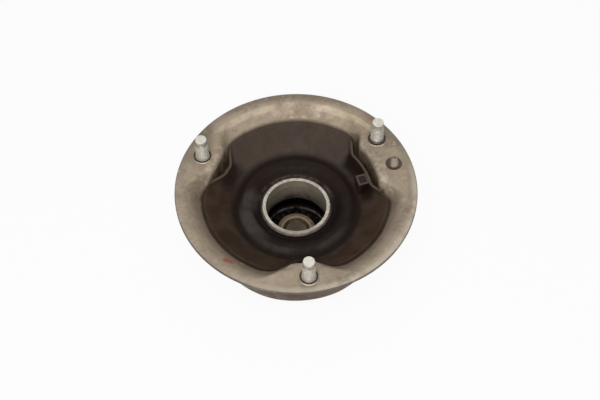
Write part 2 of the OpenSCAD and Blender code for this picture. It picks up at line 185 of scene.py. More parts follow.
# Darker patches on the slope, and red paint on the plate: place, size and soft edge
dark_slope_spots = [(-65, -3, 3, 9), (61.5, -9, 2, 6)]
paint_dabs = [(-43.2, -52.6, 1.5, 1.6), (-40.6, -53.4, 1.2, 1.6)]
# Radii of the painted gleam at the back and of the grime and painted shade on the wall behind the lip,
# how far they run down and how far they move out at the end of the wide pad, and the pin's radius and
# tip
gleam_in_r, gleam_out_r = 68.0, 70.0
grime_shade_in_r, grime_shade_out_r = 44.0, 56.2
grime_shade_run, pad_end_shift = 1.6, 3.6
pin_r, pin_tip_z = 4.0, 5.6
# Painted grey sheen on the rubber's raised ring and a gap in it: place, size and soft edge
sheen_front, sheen_side, sheen_gap = (-30, -14, 5, 17), (-30, 3, 3, 9), (5, -36, 4, 9)
# Radii where the rubber's colours change
foot_in_r, foot_out_r = 44.6, 48.6
pocket_in_r, free_lip_r = 49.5, 55.0
# Radii where the colours of the sleeve and the bearing change, and other marks on them
rim_flat_r, bore_r, hub_chamfer_r = 21.7, 7.2, 8.9
collar_in_r, collar_out_r = 9.3, 10.3
outer_ring_r, edge_in_r, edge_out_r = 14.0, 20.2, 20.7
rust_spot = (6, 11.8, 0.8, 1.0)
grease_shade_wave = 3.0
# Painted shade at the feet of the lip beside the pads: middle, half angle and strength
lip_foot_shades = [(24, 18, 1.0), (plain_pads[0], 9, 0.7), (plain_pads[1] - 360, 9, 0.7)]
# Bare fingers of the cage: middle and half angle
bare_fingers = [(15, 6), (160, 14)]

# Steps of the meshes
ROUND_STEPS = 600
STUD_STEPS = 64
SEAT_STEPS = 72
BEND_STEPS = 8
SEAT_BEND_STEPS = 3
DOG_BEND_STEPS = 4
RIM_STEPS, SLOPE_STEPS, WALL_STEPS, FLOOR_STEPS = 9, 38, 12, 2
LIP_ROWS = 52
PITCH_STEPS = 12


def on_circle(angle, radius=stud_circle_r):
    """The place at an angle on a circle about the axis"""
    a = math.radians(angle)
    return radius * math.cos(a), radius * math.sin(a)


def full_turn(steps):
    """Angles in radians all round the axis"""
    return np.linspace(0, 2 * math.pi, steps, endpoint=False)


def smooth_max(a, b, width):
    """The larger of two heights, with a fillet where they cross"""
    near = np.maximum(width - np.abs(a - b), 0) / width
    return np.maximum(a, b) + near * near * width / 4


def rounded(path, radii, steps):
    """A path with each corner rounded by its own radius, where 0 keeps it sharp"""
    path = [np.array(p, float) for p in path]
    out = []
    for i, (p, r) in enumerate(zip(path, radii)):
        if r == 0:
            out.append(p)
            continue
        u = (path[i - 1] - p) / np.linalg.norm(path[i - 1] - p)
        v = (path[i + 1] - p) / np.linalg.norm(path[i + 1] - p)
        half = math.acos(float(u @ v)) / 2
        centre = p + (u + v) / np.linalg.norm(u + v) * r / math.sin(half)
        start = p + u * r / math.tan(half) - centre
        end = p + v * r / math.tan(half) - centre
        a0 = math.atan2(start[1], start[0])
        turn = (math.atan2(end[1], end[0]) - a0 + 3 * math.pi) % (2 * math.pi) - math.pi
        for k in range(steps + 1):
            a = a0 + turn * k / steps
            out.append(centre + r * np.array((math.cos(a), math.sin(a))))
    return np.array(out)


def parallel(path, offset):
    """A path moved to its left, with mitred corners"""
    along = np.diff(path, axis=0)
    along /= np.linalg.norm(along, axis=1)[:, None]
    left = np.stack((-along[:, 1], along[:, 0]), axis=1)
    before, after = np.vstack((left[:1], left)), np.vstack((left, left[-1:]))
    scale = 1 + np.sum(before * after, axis=1)
    return path + offset * (before + after) / scale[:, None]


def height_of(path):
    """The height of a path that runs inwards, as a function of the radius"""
    order = np.argsort(path[:, 0], kind="stable")
    return lambda r: np.interp(r, path[order, 0], path[order, 1])


def rolled(depth, edge, steepness):
    """A flat top at height 0 with a rolled edge and a steep wall outside it"""
    bend = np.clip(edge - depth, 0, edge)
    drop = edge - np.sqrt(edge * edge - bend * bend)
    return -drop + np.minimum(depth, 0) * steepness


def moved(angle, moves):
    """The sum of smooth bends round the axis, at angles in radians"""
    total = np.zeros_like(angle)
    for at, flat, reach, most in moves:
        off = np.abs((np.degrees(angle) - at + 180) % 360 - 180)
        share = np.clip((reach - off) / (reach - flat), 0, 1)
        total = total + most * share * share * (3 - 2 * share)
    return total


def throat_line(angle):
    """The radius and height of the cup's throat at each angle"""
    return throat_r - moved(angle, throat_moves), throat_z + moved(angle, throat_rises)


def wall_radius(angle, z):
    """The cup's inner radius at each angle and a height below the throat"""
    edge, top = throat_line(angle)
    return edge + (np.minimum(base_r, edge - least_lean) - edge) * (z - top) / (floor_top - top)


def lip_line(angle):
    """The outer edge of the lip at each angle, and how steeply it runs inwards there"""
    edge = lip_r - moved(angle, lip_moves)
    return edge, np.gradient(edge[0])[None, :] / (edge * 2 * math.pi / ROUND_STEPS)


def divided(path, steps):
    """A path with each of its pieces divided into so many steps"""
    out = [path[0]]
    for a, b, count in zip(path, path[1:], steps):
        out += [a + (b - a) * (k + 1) / count for k in range(count)]
    return np.array(out)


def ring_rows(radius, height, angle):
    """Points round the axis from radii and heights that may change with the angle"""
    radius, height, angle = np.broadcast_arrays(radius, height, angle)
    return np.stack((radius * np.cos(angle), radius * np.sin(angle), height), axis=-1)


def turned(outline, angle):
    """Rows of points from an outline of radii and heights"""
    outline = np.array(outline)
    return ring_rows(outline[:, :1], outline[:, 1:], angle)


def skin_faces(rows, columns, start, closed):
    """Quads between rows of points, each row a closed ring"""
    last = rows if closed else rows - 1
    i, j = np.meshgrid(np.arange(last), np.arange(columns), indexing="ij")
    i2, j2 = (i + 1) % rows, (j + 1) % columns
    corners = (i * columns + j, i * columns + j2, i2 * columns + j2, i2 * columns + j)
    return np.stack(corners, axis=-1).reshape(-1, 4) + start


def build(name, skins, body, material, sharp=40):
    """An object from skins of rings in millimetres: each is its rows and whether it closes on itself"""
    points, faces, start = [], [], 0
    for rows, closed in skins:
        count, columns = rows.shape[:2]
        points.append(rows.reshape(-1, 3) * MM)
        faces.append(skin_faces(count, columns, start, closed))
        start += count * columns
    mesh = bpy.data.meshes.new(name)
    mesh.from_pydata(np.vstack(points).tolist(), [], np.vstack(faces).tolist())
    return finish_piece(name, mesh, body, material, sharp)


def finish_piece(name, mesh, body, material, sharp):
    """Turns the normals outwards, shades smooth and gives the piece its body, slot and material"""
    work = bmesh.new()
    work.from_mesh(mesh)
    bmesh.ops.recalc_face_normals(work, faces=work.faces)
    work.to_mesh(mesh)
    work.free()
    mesh.polygons.foreach_set("use_smooth", [True] * len(mesh.polygons))
    mesh.set_sharp_from_angle(angle=math.radians(sharp))
    mesh.materials.append(material)
    piece = bpy.data.objects.new(name, mesh)
    bpy.context.scene.collection.objects.link(piece)
    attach(piece, body)
    return piece


class Graph:
    """A material's node graph, with short calls for the nodes used here and lengths in millimetres"""

    def __init__(self, name):
        self.material = bpy.data.materials.new(name)
        self.material.use_nodes = True
        self.tree = self.material.node_tree
        self.shader = self.tree.nodes["Principled BSDF"]
        self.place = self.node("ShaderNodeTexCoord").outputs["Object"]
        split = self.node("ShaderNodeSeparateXYZ", Vector=self.place)
        self.x, self.y, self.z = split.outputs
        self.flat = self.node("ShaderNodeCombineXYZ", X=self.x, Y=self.y).outputs[0]
        length = self.node("ShaderNodeVectorMath", {"operation": "LENGTH"}, Vector=self.flat)
        self.radius = length.outputs["Value"]
        self.angle = self.math("ARCTAN2", self.y, self.x)

    def node(self, kind, settings=None, **inputs):
        made = self.tree.nodes.new(kind)
        for key, value in (settings or {}).items():
            setattr(made, key, value)
        for key, value in inputs.items():
            self.put(made.inputs[key.replace("_", " ")], value)
        return made

    def put(self, socket, value):
        if isinstance(value, bpy.types.NodeSocket):
            self.tree.links.new(value, socket)
        else:
            socket.default_value = value

    def math(self, operation, a, b=0.0):
        made = self.node("ShaderNodeMath", {"operation": operation})
        self.put(made.inputs[0], a)
        self.put(made.inputs[1], b)
        return made.outputs[0]

    def times(self, first, *others):
        """The product of shares"""
        for other in others:
            first = self.math("MULTIPLY", first, other)
        return first

    def most(self, first, *others):
        """The largest of shares"""
        for other in others:
            first = self.math("MAXIMUM", first, other)
        return first

    def rest(self, share):
        """What a share leaves of 1"""
        return self.math("SUBTRACT", 1.0, share)

    def between(self, share, low, high):
        """A number that runs from low to high with the share"""
        return self.math("ADD", self.times(share, high - low), low)

    def step(self, value, low, high):
        """0 below low and 1 above high, smooth between, in the value's own units"""
        made = self.node("ShaderNodeMapRange", {"interpolation_type": "SMOOTHSTEP"})
        self.put(made.inputs["Value"], value)
        self.put(made.inputs["From Min"], low)
        self.put(made.inputs["From Max"], high)
        return made.outputs["Result"]

    def above(self, length, low, high):
        """0 where a length is below low and 1 where it is above high, smooth between"""
        return self.step(length, low * MM, high * MM)

    def below(self, length, low, high):
        """1 where a length is below low and 0 where it is above high, smooth between"""
        return self.rest(self.above(length, low, high))

    def band(self, length, low, high, soft):
        """1 where a length is between low and high, falling to 0 over soft on both sides"""
        return self.times(self.above(length, low - soft, low), self.below(length, high, high + soft))

    def sector(self, low, high, soft):
        """1 between two angles round the axis, in degrees from -180 to 180, with soft ends"""
        start, end, fade = math.radians(low), math.radians(high), math.radians(soft)
        after = self.step(self.angle, start - fade, start)
        return self.times(after, self.rest(self.step(self.angle, end, end + fade)))

    def spot(self, x, y, size, soft):
        """1 inside a round patch about a point, seen along the axis"""
        away = self.node("ShaderNodeVectorMath", {"operation": "DISTANCE"})
        self.put(away.inputs[0], self.flat)
        self.put(away.inputs[1], (x * MM, y * MM, 0))
        return self.below(away.outputs["Value"], size, size + soft)

    def noise(self, cell, detail=3.0, rough=0.55, vector=None, low=0.35, high=0.65):
        """Noise with cells of a size, stretched to the range 0 to 1"""
        made = self.node("ShaderNodeTexNoise", Scale=1 / (cell * MM), Detail=detail, Roughness=rough)
        self.put(made.inputs["Vector"], vector or self.place)
        return self.step(made.outputs["Fac"], low, high)

    def polar(self, around, out, up):
        """Coordinates that follow the part round its axis: stretch round it, outwards and upwards"""
        turn = self.times(self.angle, around)
        away = self.times(self.radius, out)
        height = self.times(self.z, up)
        return self.node("ShaderNodeCombineXYZ", X=turn, Y=away, Z=height).outputs[0]

    def mix(self, share, a, b):
        made = self.node("ShaderNodeMix", {"data_type": "RGBA"})
        self.put(made.inputs[0], share)
        self.put(made.inputs[6], a)
        self.put(made.inputs[7], b)
        return made.outputs[2]

    def tint(self, colour, share, amount, over):
        """A colour with another one laid over it, as strong as the share times the amount"""
        return self.mix(self.times(share, amount), colour, over)

    def bump(self, height, distance, strength=1.0, under=None):
        made = self.node("ShaderNodeBump", Height=height, Distance=distance * MM, Strength=strength)
        if under is not None:
            self.put(made.inputs["Normal"], under)
        return made.outputs[0]

    def finish(self, colour, roughness, normal, **values):
        self.put(self.shader.inputs["Base Color"], colour)
        self.put(self.shader.inputs["Roughness"], roughness)
        self.put(self.shader.inputs["Normal"], normal)
        for key, value in values.items():
            self.put(self.shader.inputs[key.replace("_", " ")], value)
        return self.material


def srgb(*values):
    """A display colour from 0 to 255 as linear values"""
    shares = [v / 255 for v in values]
    return tuple(s / 12.92 if s <= 0.04045 else ((s + 0.055) / 1.055) ** 2.4 for s in shares) + (1.0,)


def plate_material():
    """Dull coated sheet steel with blotches, stains, worn edges, painted light and shade, and a dab of
    red paint
    """
    g = Graph("pressed_steel")
    fine = g.noise(2.6, detail=4, rough=0.65)
    speck = g.noise(0.9, detail=2, rough=0.6, low=0.3, high=0.7)
    colour = plate_tones(g, fine)
    colour = plate_marks(g, colour, fine)
    colour = plate_seats(g, colour)
    colour = red_paint(g, colour)
    colour = cup_grime_and_shade(g, colour)
    colour = pin_tones(g, colour)
    rough = g.between(g.noise(7, detail=3), 0.46, 0.66)
    normal = g.bump(speck, 0.02, 0.6, g.bump(fine, 0.05, 0.5))
    return g.finish(colour, rough, normal, Metallic=0.25, Specular_IOR_Level=0.45)


def plate_tones(g, fine):
    """The plate's colours: the sheet, a painted highlight on its slope, the rim darker at the back and
    with a painted highlight growing towards the right at the front, and painted shade on the rim's cut
    side
    """
    blotch = g.noise(16, detail=4, rough=0.6)
    drawn = g.noise(1.0, detail=3, vector=g.polar(0.012, 0.35, 0.35))
    colour = g.mix(blotch, srgb(136, 121, 104), srgb(158, 143, 124))
    colour = g.tint(colour, fine, 0.48, srgb(114, 100, 84))
    colour = g.tint(colour, drawn, 0.2, srgb(176, 161, 143))
    # Painted highlight: the slope is lighter all round
    slope_highlight = g.band(g.radius, throat_r + 1, rim_in_r - 1, 2.5)
    colour = g.tint(colour, slope_highlight, 0.3, srgb(166, 150, 126))
    rim = g.above(g.radius, flange_r - 5.5, flange_r - 1.5)
    back = g.times(rim, g.above(g.y, -10, 40))
    colour = g.tint(colour, back, 0.6, srgb(106, 97, 86))
    # Painted highlight on the front of the rim, stronger towards the right
    front = g.times(g.math("SUBTRACT", rim, back), g.between(g.above(g.x, -60, 25), 0.1, 0.95))
    colour = g.mix(front, colour, srgb(178, 166, 149))
    # Painted shade on the rim's cut side
    side = g.above(g.radius, flange_r - 0.6, flange_r - 0.2)
    return g.tint(colour, side, 0.8, srgb(72, 66, 61))


def plate_marks(g, colour, fine):
    """Stains, darker patches and painted shade on the plate, a painted gleam at the back, specks,
    painted lit patches, and worn edges of the pads with a painted highlight
    """
    stain = g.times(g.noise(26, low=0.5, high=0.68), g.noise(5))
    colour = g.tint(colour, stain, 0.5, srgb(92, 79, 64))
    for x, y, size, soft, share, tone in plate_stains:
        mark = g.times(g.spot(x, y, size, soft), g.between(fine, 0.6, 1.0))
        colour = g.tint(colour, mark, share, srgb(*tone))
    patchy_fine = g.between(fine, 0.5, 1.0)
    # Darker patches on the slope by the throat
    dark_slope = g.times(g.most(*(g.spot(*s) for s in dark_slope_spots)), patchy_fine)
    colour = g.tint(colour, dark_slope, 0.5, srgb(92, 78, 64))
    shade = g.times(g.below(g.y, -10, 15), g.below(g.radius, throat_r + 1, throat_r + 8.5))
    colour = g.tint(colour, g.times(shade, g.below(g.z, -2.2, -0.6)), 0.62, srgb(60, 48, 38))
    gleam = g.times(g.band(g.radius, gleam_in_r, gleam_out_r, 1.4), g.above(g.y, 40, 52))
    gleam = g.times(gleam, g.above(g.math("ABSOLUTE", g.x), 8, 22), patchy_fine)
    colour = g.tint(colour, gleam, 0.55, srgb(206, 190, 164))
    colour = g.tint(colour, g.noise(3.2, low=0.66, high=0.78), 0.55, srgb(84, 73, 60))
    lit = g.noise(5.5, detail=4, rough=0.7, low=0.6, high=0.74)
    colour = g.tint(colour, lit, 0.55, srgb(202, 188, 170))
    # Worn rolled edges of the pads, lightened as a painted highlight
    worn_edge_highlight = g.times(g.band(g.z, -1.3, -0.2, 0.3), g.below(g.radius, 60, 62))
    return g.tint(colour, g.times(worn_edge_highlight, g.noise(4, low=0.4, high=0.6)), 0.3, srgb(204, 190, 173))


def plate_seats(g, colour):
    """Painted highlights on the beads in front of the studs, and soil and painted shade round the studs
    and the locating pin
    """
    bead_highlight, close = 0.0, 0.0
    # Painted highlight on the near side of the bead round each stud
    for angle in stud_angles:
        x, y = on_circle(angle)
        ring = g.math("SUBTRACT", g.spot(x, y, swage_r + 0.7, 0.3), g.spot(x, y, swage_r, 0.2))
        bead_highlight = g.most(bead_highlight, g.times(ring, g.below(g.y, y - 6.5, y - 3.5)))
    colour = g.tint(colour, bead_highlight, 0.65, srgb(222, 211, 196))
    for angle in [*stud_angles, pin_angle]:
        close = g.most(close, g.spot(*on_circle(angle), swage_r + 0.5, 0.6))
    # Soil and painted shade in the seats round the studs and the pin
    moat = g.times(g.below(g.z, -0.6, -0.2), close)
    return g.tint(colour, moat, 0.9, srgb(54, 45, 37))


def red_paint(g, colour):
    """A dab of red paint on the upper side of the slope"""
    dab = g.most(*(g.spot(*d) for d in paint_dabs))
    slope_z = g.times(g.math("SUBTRACT", g.radius, rim_in_r * MM), -throat_z / slope_w)
    upper = g.above(g.math("SUBTRACT", g.z, slope_z), -2.0, -1.2)
    paint = g.times(dab, g.noise(2.2, low=0.2, high=0.42), upper)
    return g.tint(colour, paint, 0.75, srgb(150, 66, 54))


def cup_grime_and_shade(g, colour):
    """Grime and painted shade run down the wall behind the lip, and the outside of the cup is darker
    and browner below the flange
    """
    run = g.noise(1.0, detail=4, rough=0.65, vector=g.polar(0.05, 0.25, 0.12))
    depth = g.math("ADD", g.z, g.times(run, -grime_shade_run * MM))
    pad_end = g.times(g.sector(40, 53, 4), pad_end_shift * MM)
    # Grime and painted shade on the wall behind the lip
    wall = g.band(g.math("SUBTRACT", g.radius, pad_end), grime_shade_in_r, grime_shade_out_r, 1.8)
    wall = g.times(wall, g.below(depth, -6.0, -3.2), g.above(g.z, -34, -24))
    colour = g.tint(colour, wall, 0.92, g.mix(run, srgb(42, 33, 24), srgb(126, 108, 86)))
    return g.tint(colour, g.below(g.z, -30, -14), 0.8, srgb(94, 72, 52))


def pin_tones(g, colour):
    """The locating pin: a painted highlight in the middle, painted shade at its sides and darker at its
    tip
    """
    x, y = on_circle(pin_angle)
    pin = g.times(g.spot(x, y, pin_r, 0.5), g.above(g.z, -0.2, 0.3))
    # Painted highlight in the middle of the pin and painted shade at its sides
    off = g.math("ABSOLUTE", g.math("SUBTRACT", g.x, (x + 0.3) * MM))
    side = g.most(g.above(off, 1.4, 3.2), g.above(g.z, pin_tip_z, pin_tip_z + 0.8))
    return g.tint(colour, pin, 0.85, g.mix(side, srgb(178, 163, 150), srgb(92, 78, 66)))


def rubber_material():
    """Dusty moulded rubber: brown dish, painted grey sheen on the raised ring, painted shade in the
    hollows, paler lip
    """
    g = Graph("bonded_rubber")
    blotch = g.noise(12, detail=4, rough=0.6)
    fine = g.noise(1.6, detail=4, rough=0.65)
    grit = g.noise(1.5, detail=4, rough=0.7, low=0.4, high=0.62)
    colour = dish_tones(g, blotch)
    colour = rubber_sheen(g, colour, blotch)
    colour = lip_tones(g, colour)
    pocket = g.times(g.above(g.radius, pocket_in_r, pocket_in_r + 1), g.below(g.z, -18.5, -15.5))
    colour = g.tint(colour, pocket, 0.8, g.mix(grit, srgb(46, 36, 27), srgb(120, 101, 79)))
    colour = tab_tones(g, colour)
    rust = g.times(g.noise(9, low=0.62, high=0.75), g.noise(2, low=0.35, high=0.6))
    colour = g.tint(colour, rust, 0.4, srgb(76, 44, 35))
    rough = g.between(g.noise(5), 0.52, 0.76)
    normal = g.bump(grit, 0.12, g.times(pocket, 0.8), g.bump(fine, 0.06, 0.5))
    return g.finish(colour, rough, normal, Specular_IOR_Level=0.07)


def dish_tones(g, blotch):
    """The dish with dust at the back, the raised ring, and painted shade in the hollow and the valley
    at the front
    """
    streak = g.noise(1.0, detail=4, rough=0.6, vector=g.polar(0.45, 0.06, 0.06))
    colour = g.mix(blotch, srgb(52, 39, 30), srgb(63, 50, 40))
    dust = g.times(g.above(g.y, 8, 30), g.between(streak, 0.6, 1.0))
    colour = g.tint(colour, dust, 0.6, srgb(84, 75, 68))
    colour = g.tint(colour, g.below(g.radius, groove_r - 0.2, groove_r + 4.3), 0.92, srgb(30, 22, 19))
    front = g.below(g.y, -4, 14)
    # Painted shade in the hollow by the sleeve at the front
    hollow_shade = g.times(front, g.below(g.radius, ring_in_r - 1, ring_in_r + 4))
    colour = g.tint(colour, hollow_shade, 0.8, srgb(16, 11, 9))
    # Painted shade in the valley at the front
    valley_shade = g.times(front, g.band(g.radius, groove_r - 0.7, groove_r + 1.3, 1.6))
    colour = g.tint(colour, valley_shade, 0.6, srgb(20, 14, 12))
    near = g.times(g.sector(-140, -75, 18), g.above(g.radius, groove_r + 0.8, groove_r + 4.8))
    return g.tint(colour, near, 0.15, srgb(38, 30, 29))


def rubber_sheen(g, colour, blotch):
    """Painted grey sheen on the left and the front of the raised ring, and a paler band behind the
    sleeve
    """
    # Painted grey sheen on the raised ring
    left = g.times(g.band(g.radius, ring_in_r, ring_out_r + 0.5, 2.6), g.spot(*sheen_front))
    side = g.times(g.band(g.radius, ring_in_r - 3, ring_in_r + 4, 2), g.spot(*sheen_side))
    arc = g.times(g.band(g.radius, ring_out_r - 0.6, ring_out_r + 1, 2.0), g.below(g.y, -26, -12))
    arc = g.times(arc, g.rest(g.times(g.spot(*sheen_gap), 0.7)), 0.65)
    painted_sheen = g.times(g.most(left, side, arc), g.between(blotch, 0.6, 1.0))
    colour = g.tint(colour, painted_sheen, 0.75, srgb(70, 63, 61))
    # A paler band in the rubber behind the sleeve
    pale_band = g.times(g.band(g.radius, sleeve_r + 0.4, sleeve_r + 2.2, 1.2), g.above(g.y, 2, 16))
    pale_band = g.times(pale_band, g.noise(5, detail=4, rough=0.65, low=0.42, high=0.6))
    return g.tint(colour, pale_band, 0.7, srgb(82, 75, 68))


def lip_tones(g, colour):
    """Painted shade at the feet of the lip beside the pads, its pale top there and its duller edge
    elsewhere
    """
    foot = 0.0
    for at, half, share in lip_foot_shades:
        foot = g.most(foot, g.times(g.sector(at - half, at + half, 9), share))
    # Painted shade at the feet of the lip beside the pads
    foot = g.times(foot, g.band(g.radius, foot_in_r, foot_out_r, 3.4))
    colour = g.tint(colour, foot, 0.88, srgb(20, 13, 11))
    top = g.above(g.z, lip_z - 1.0, lip_z - 0.25)
    free = g.times(top, g.below(g.radius, free_lip_r, free_lip_r + 3), g.above(g.y, -30, -10))
    colour = g.tint(colour, free, 0.75, srgb(92, 80, 68))
    edge = g.times(top, g.above(g.radius, free_lip_r, free_lip_r + 3))
    return g.tint(colour, edge, 0.25, srgb(78, 66, 54))


def tab_tones(g, colour):
    """The moulded tab's sunk panel with painted shade, and its paler border"""
    tab = g.spot(*on_circle(pin_angle, tab_middle_r), 5.2, 0.6)
    # Painted shade in the sunk panel
    panel_shade = g.band(g.z, tab_top - tab_panel_depth - 0.2, tab_top - 0.5, 0.2)
    colour = g.tint(colour, g.times(tab, panel_shade), 0.8, srgb(52, 44, 38))
    border = g.above(g.z, tab_top - 0.4, tab_top - 0.15)
    return g.tint(colour, g.times(tab, border), 0.9, srgb(86, 77, 69))


def zinc_material():
    """Pale zinc flake coating, with painted shade in the neck between thread and dog point and at the
    foot
    """
    g = Graph("zinc_plate")
    blotch = g.noise(3.5, detail=4, rough=0.6)
    fine = g.noise(0.7, rough=0.6)
    colour = g.mix(blotch, srgb(204, 199, 185), srgb(226, 222, 210))
    colour = g.tint(colour, fine, 0.45, srgb(182, 176, 162))
    shank = g.below(g.z, stud_top - 0.3, stud_top - 0.1)
    colour = g.tint(colour, shank, 0.8, g.mix(fine, srgb(192, 185, 173), srgb(148, 141, 128)))
    point = g.band(g.z, dog_start + 0.3, stud_top - 0.45, 0.2)
    colour = g.tint(colour, point, 0.6, srgb(206, 200, 187))
    # Painted shade in the neck between thread and dog point
    neck_shade = g.times(g.band(g.z, dog_start - 0.7, dog_start, 0.3), g.between(blotch, 0.45, 1.0))
    colour = g.tint(colour, neck_shade, 0.85, srgb(88, 80, 68))
    # Painted shade at the foot of each stud, stronger on the studs to the right
    foot = g.times(g.below(g.z, 0.9, 1.9), g.between(g.above(g.x, 30, 40), 0.25, 0.88))
    colour = g.mix(foot, colour, g.mix(fine, srgb(56, 48, 40), srgb(88, 78, 66)))
    rough = g.between(blotch, 0.42, 0.6)
    return g.finish(colour, rough, g.bump(fine, 0.03, 0.5), Metallic=0.2, Specular_IOR_Level=0.5)


def sleeve_material():
    """Drawn steel: bright worn rim with painted shade on its outer side, grey-beige bore with painted
    shade down it, black with grease and painted shade towards the bearing
    """
    g = Graph("sleeve_steel")
    wear = g.noise(2.2, detail=4, rough=0.6)
    blotch = g.noise(6, detail=4)
    ringed = g.noise(1.0, vector=g.polar(0.006, 0.2, 1.1))
    colour = g.mix(blotch, srgb(164, 154, 138), srgb(182, 172, 156))
    colour = g.tint(colour, ringed, 0.4, srgb(132, 124, 110))
    # Painted shade darkening the bore downwards
    colour = g.tint(colour, g.below(g.z, neck_end, sleeve_top - 2), 0.75, srgb(76, 67, 55))
    band = g.band(g.z, sleeve_top - 8.6, sleeve_top - 7.4, 0.6)
    colour = g.tint(colour, band, 0.3, srgb(104, 96, 84))
    # Black for grease and painted shade in the bore below the neck
    grease_and_shade = g.below(g.math("ADD", g.z, g.times(blotch, grease_shade_wave * MM)), neck_end - 1, neck_end + 8)
    colour = g.tint(colour, grease_and_shade, 0.99, srgb(3, 2, 1))
    flat = g.below(g.radius, rim_flat_r, rim_flat_r + 0.8)
    rim = g.times(g.above(g.z, sleeve_top - 0.5, sleeve_top - 0.2), flat)
    colour = g.tint(colour, rim, 0.9, g.mix(wear, srgb(152, 143, 131), srgb(196, 187, 174)))
    near = g.times(rim, g.below(g.y, -20, -12))
    colour = g.tint(colour, near, 0.5, srgb(112, 103, 93))
    not_dark = g.most(g.rest(grease_and_shade), g.above(g.radius, housing_r - 2.5, housing_r - 1.5))
    shade = g.times(g.rest(flat), not_dark)
    colour = g.tint(colour, shade, 0.85, g.mix(wear, srgb(62, 55, 48), srgb(104, 95, 84)))
    # Painted shadow on the outer side of the rim
    flank = g.times(g.below(g.z, sleeve_top - 1.5, sleeve_top - 0.7), shade)
    colour = g.tint(colour, flank, 0.85, srgb(28, 23, 19))
    rough = g.most(g.between(wear, 0.34, 0.55), g.times(grease_and_shade, 0.9))
    metal, sheen = g.between(grease_and_shade, 0.45, 0.0), g.between(grease_and_shade, 0.2, 0.0)
    return g.finish(colour, rough, g.bump(wear, 0.05, 0.5), Metallic=metal, Specular_IOR_Level=sheen)


def bearing_material():
    """Bearing steel: worn brown hub with painted shade on its chamfer and a painted highlight on the
    collar round it, black with grease and painted shade below the hub top and on the outer ring, with a
    painted highlight on the ring's edge
    """
    g = Graph("bearing_steel")
    blotch = g.noise(4, detail=4, rough=0.65)
    fine = g.noise(0.9)
    colour = g.mix(blotch, srgb(98, 85, 69), srgb(122, 108, 89))
    colour = g.tint(colour, fine, 0.4, srgb(82, 69, 54))
    outer = g.above(g.radius, outer_ring_r, outer_ring_r + 1)
    # Black for grease and painted shade below the hub top and on the outer ring
    greasy_and_shaded = g.most(g.below(g.z, hub_top - 4, hub_top - 0.6), outer)
    colour = g.tint(colour, greasy_and_shaded, 0.97, srgb(7, 5, 4))
    # Painted shade on the hub's chamfer
    chamfer_shade = g.below(g.radius, hub_chamfer_r, hub_chamfer_r + 0.3)
    colour = g.tint(colour, chamfer_shade, 0.9, g.mix(blotch, srgb(58, 48, 34), srgb(74, 62, 45)))
    bore = g.below(g.radius, bore_r, bore_r + 0.3)
    colour = g.tint(colour, bore, 0.9, g.mix(blotch, srgb(92, 78, 57), srgb(110, 95, 72)))
    # Painted highlight on the collar round the chamfer
    collar_highlight = g.band(g.radius, collar_in_r, collar_out_r, 0.4)
    colour = g.tint(colour, collar_highlight, 0.55, srgb(156, 142, 120))
    # Painted highlight on the edge of the outer ring
    edge = g.times(g.band(g.radius, edge_in_r, edge_out_r, 0.25), g.between(blotch, 0.3, 1.0))
    edge = g.times(edge, g.between(g.above(g.math("ABSOLUTE", g.x), 1, 4), 0.15, 1.0))
    colour = g.tint(colour, edge, 0.8, srgb(112, 107, 106))
    rust = g.times(g.spot(*rust_spot), g.above(g.z, hub_top - 3, hub_top - 2))
    colour = g.tint(colour, rust, 0.8, srgb(116, 50, 38))
    rough, sheen = g.between(blotch, 0.3, 0.5), g.between(outer, 0.1, 0.0)
    return g.finish(colour, rough, g.bump(fine, 0.04, 0.4), Metallic=sheen, Specular_IOR_Level=sheen)


def cage_material():
    """Natural polyamide, mostly black with grease and painted shade, bare on a few fingers"""
    g = Graph("cage_plastic")
    blotch = g.noise(2.5)
    bare = 0.0
    for middle, half in bare_fingers:
        bare = g.most(bare, g.sector(middle - half, middle + half, 2))
    grease_and_shade = g.mix(blotch, srgb(13, 10, 8), srgb(30, 25, 20))
    plastic = g.mix(blotch, srgb(150, 134, 102), srgb(186, 170, 138))
    colour = g.mix(g.times(bare, g.between(blotch, 0.6, 1.0)), grease_and_shade, plastic)
    rough = g.between(blotch, 0.35, 0.6)
    return g.finish(colour, rough, g.bump(blotch, 0.06, 0.4), Specular_IOR_Level=0.05)


def ball_material():
    """Polished balls, dark with grease and painted shade"""
    g = Graph("ball_steel")
    film = g.noise(2.4)
    colour = g.mix(film, srgb(7, 6, 5), srgb(20, 17, 15))
    rough = g.between(film, 0.4, 0.62)
    return g.finish(colour, rough, g.bump(film, 0.05, 0.3), Specular_IOR_Level=0.06)


def seal_material():
    """Matt black seal rubber with a little dust"""
    g = Graph("seal_rubber")
    dust = g.noise(3, detail=4)
    colour = g.mix(dust, srgb(26, 25, 24), srgb(50, 48, 45))
    rough = g.between(dust, 0.55, 0.75)
    return g.finish(colour, rough, g.bump(dust, 0.05, 0.4), Specular_IOR_Level=0.35)


def cup_profiles(angle):
    """The upper surface of the pressing at each angle, from the rim to the floor hole"""
    edges, tops = throat_line(angle)
    flats = np.maximum(rim_in_r - moved(angle, flat_moves), edges + bend_room)
    bends = [0, rim_bend, throat_bend, floor_bend, 0]
    bend = [1] * BEND_STEPS
    steps = [RIM_STEPS, *bend, SLOPE_STEPS, *bend, WALL_STEPS, *bend, FLOOR_STEPS]
    profiles = []
    for edge, top, flat in zip(edges, tops, flats):
        foot = (min(base_r, edge - least_lean), floor_top)
        corners = [(flange_r - rim_chamfer, 0), (flat, 0), (edge, top), foot, (hole_r, floor_top)]
        profiles.append(divided(rounded(corners, bends, BEND_STEPS), steps))
    return np.array(profiles)


